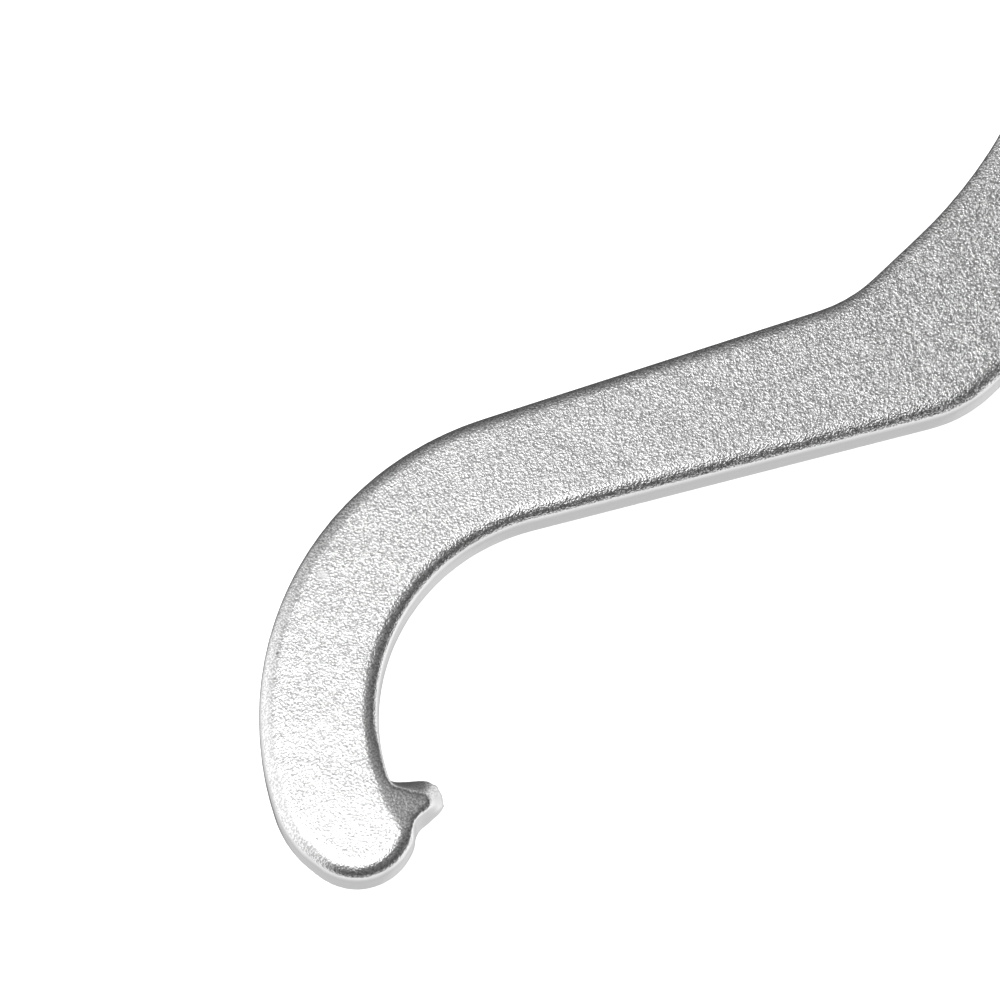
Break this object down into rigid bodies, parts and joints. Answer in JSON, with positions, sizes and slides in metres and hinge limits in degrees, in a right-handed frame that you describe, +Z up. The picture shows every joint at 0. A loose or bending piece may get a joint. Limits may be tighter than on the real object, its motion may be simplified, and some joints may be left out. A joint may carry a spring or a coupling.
{
  "type": "fire hydrant wrench",
  "caption": "Adjustable hydrant wrench: hook spanner and pentagon loop in one forged head, with a screw handle that drives a sliding jaw against the nut.",
  "frame": {"origin": "centre of the nut opening, on the handle's axis, at mid-thickness", "axes": "+X along the handle, away from the hook; +Y towards the side that the hook bulges to; +Z up, square to the flat faces"},
  "size_m": [0.5911, 0.1017, 0.034],
  "materials": {
    "plated_forging": "shot blasted and bright plated",
    "plated_bar": "turned and bright plated",
    "plated_jaw": "milled and bright plated",
    "pin_steel": "ground",
    "washer_steel": "ground and hardened",
    "black_oxide_steel": "black oxide",
    "nylon": "natural"
  },
  "bodies": {
    "head": {"head_forging": "plated_forging", "drag_screw": "black_oxide_steel", "drag_pellet": "nylon"},
    "jaw": {"jaw_shoe": "plated_jaw", "jaw_pin_left": "pin_steel", "jaw_pin_right": "pin_steel", "thrust_washer": "washer_steel"},
    "handle": {"handle_screw": "plated_bar"}
  },
  "joints": [
    {"name": "jaw_slide", "type": "slide", "parent": "head", "child": "jaw", "axis": [-1, 0, 0], "range_m": [0, 0.03]},
    {"name": "handle_spin", "type": "hinge", "parent": "jaw", "child": "handle", "pos_m": [0.1, 0, 0], "axis": [-1, 0, 0], "range_deg": [0, 2700]}
  ],
  "couplings": [
    {"joint": "handle_spin", "follows": "jaw_slide", "rad_per_m": 1570.8}
  ]
}
